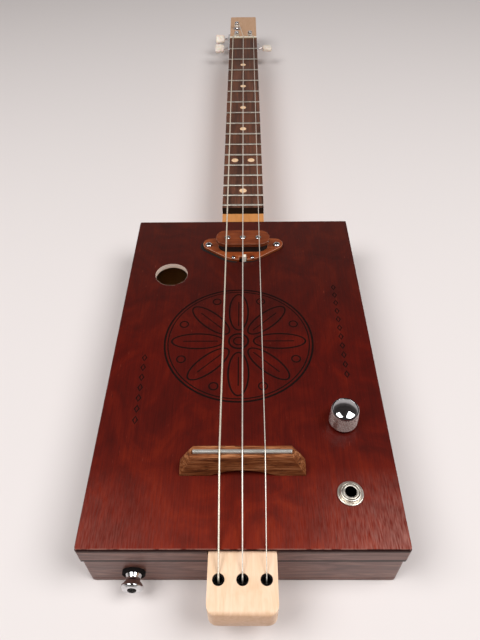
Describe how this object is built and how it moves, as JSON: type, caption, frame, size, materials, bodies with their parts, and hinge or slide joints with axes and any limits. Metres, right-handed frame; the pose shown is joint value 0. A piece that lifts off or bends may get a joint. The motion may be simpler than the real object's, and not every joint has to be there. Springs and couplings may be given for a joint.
{
  "type": "cigar box guitar",
  "caption": "Box-bodied stringed instrument with a through neck, fretted fingerboard, wooden bridge, pickup, volume knob, jack and geared tuners.",
  "frame": {"origin": "centre of the box back's outer face, the face that the guitar lies on", "axes": "+X to the right seen from above with the headstock away, +Y along the neck to the headstock, +Z out of the lid"},
  "size_m": [0.181, 0.831, 0.0674],
  "materials": {
    "stained_lid": "satin stain",
    "box_wood": "satin",
    "maple": "satin",
    "rosewood": "open grain",
    "walnut": "satin",
    "red_wood": "satin",
    "nickel": "polished",
    "chrome": "polished",
    "string_steel": "wound and plain",
    "black_plastic": "matt",
    "black_metal": "satin",
    "cream_plastic": "gloss",
    "bone": "satin",
    "white_plastic": "satin"
  },
  "bodies": {
    "guitar_body": {"tray_back": "box_wood", "tray_walls": "box_wood", "lid_rim_left": "box_wood", "lid_rim_right": "box_wood", "lid_panel": "stained_lid", "neck": "maple", "fretboard": "rosewood", "nut": "bone", "fret_01": "nickel", "fret_02": "nickel", "fret_03": "nickel", "fret_04": "nickel", "fret_05": "nickel", "fret_06": "nickel", "fret_07": "nickel", "fret_08": "nickel", "fret_09": "nickel", "fret_10": "nickel", "fret_11": "nickel", "fret_12": "nickel", "fret_13": "nickel", "fret_14": "nickel", "fret_15": "nickel", "fret_16": "nickel", "bridge": "walnut", "saddle_rod": "nickel", "string_low": "string_steel", "string_middle": "string_steel", "string_high": "string_steel", "ferrule_1": "black_metal", "ferrule_2": "black_metal", "ferrule_3": "black_metal", "pickup_ring": "red_wood", "pickup_bobbin": "black_plastic", "pickup_cover": "red_wood", "pickup_pole_1": "chrome", "pickup_pole_2": "chrome", "pickup_pole_3": "chrome", "switch_body": "black_plastic", "pot_body": "nickel", "pot_nut": "nickel", "jack_body": "nickel", "jack_washer": "chrome", "jack_nut": "chrome", "strap_button": "chrome", "tuner_plate_left_near": "chrome", "tuner_plate_left_far": "chrome", "tuner_plate_right": "chrome"},
    "switch_slider": {"switch_lever": "white_plastic"},
    "volume_control": {"pot_shaft": "nickel", "volume_knob": "chrome"},
    "button_left_near": {"tuner_worm_left_near": "chrome", "tuner_button_left_near": "cream_plastic"},
    "button_left_far": {"tuner_worm_left_far": "chrome", "tuner_button_left_far": "cream_plastic"},
    "button_right": {"tuner_worm_right": "chrome", "tuner_button_right": "cream_plastic"},
    "post_left_near": {"tuner_post_left_near": "chrome"},
    "post_left_far": {"tuner_post_left_far": "chrome"},
    "post_right": {"tuner_post_right": "chrome"}
  },
  "joints": [
    {"name": "switch_slide", "type": "slide", "parent": "guitar_body", "child": "switch_slider", "axis": [1, 0, 0], "range_m": [-0.0026, 0]},
    {"name": "volume_turn", "type": "hinge", "parent": "guitar_body", "child": "volume_control", "pos_m": [0.0626, -0.064, 0.055], "axis": [0, 0, 1], "range_deg": [-150, 150]},
    {"name": "left_near_button_turn", "type": "hinge", "parent": "guitar_body", "child": "button_left_near", "pos_m": [-0.0092, 0.583, 0.0249], "axis": [1, 0, 0], "continuous": true},
    {"name": "left_near_post_turn", "type": "hinge", "parent": "guitar_body", "child": "post_left_near", "pos_m": [-0.0092, 0.5742, 0.04], "axis": [0, 0, 1], "continuous": true},
    {"name": "left_far_button_turn", "type": "hinge", "parent": "guitar_body", "child": "button_left_far", "pos_m": [-0.0092, 0.618, 0.0249], "axis": [1, 0, 0], "continuous": true},
    {"name": "left_far_post_turn", "type": "hinge", "parent": "guitar_body", "child": "post_left_far", "pos_m": [-0.0092, 0.6092, 0.04], "axis": [0, 0, 1], "continuous": true},
    {"name": "right_button_turn", "type": "hinge", "parent": "guitar_body", "child": "button_right", "pos_m": [0.0092, 0.583, 0.0249], "axis": [1, 0, 0], "continuous": true},
    {"name": "right_post_turn", "type": "hinge", "parent": "guitar_body", "child": "post_right", "pos_m": [0.0092, 0.5742, 0.04], "axis": [0, 0, 1], "continuous": true}
  ],
  "couplings": [
    {"joint": "left_near_post_turn", "follows": "left_near_button_turn", "ratio": 0.071429},
    {"joint": "left_far_post_turn", "follows": "left_far_button_turn", "ratio": 0.071429},
    {"joint": "right_post_turn", "follows": "right_button_turn", "ratio": 0.071429}
  ]
}
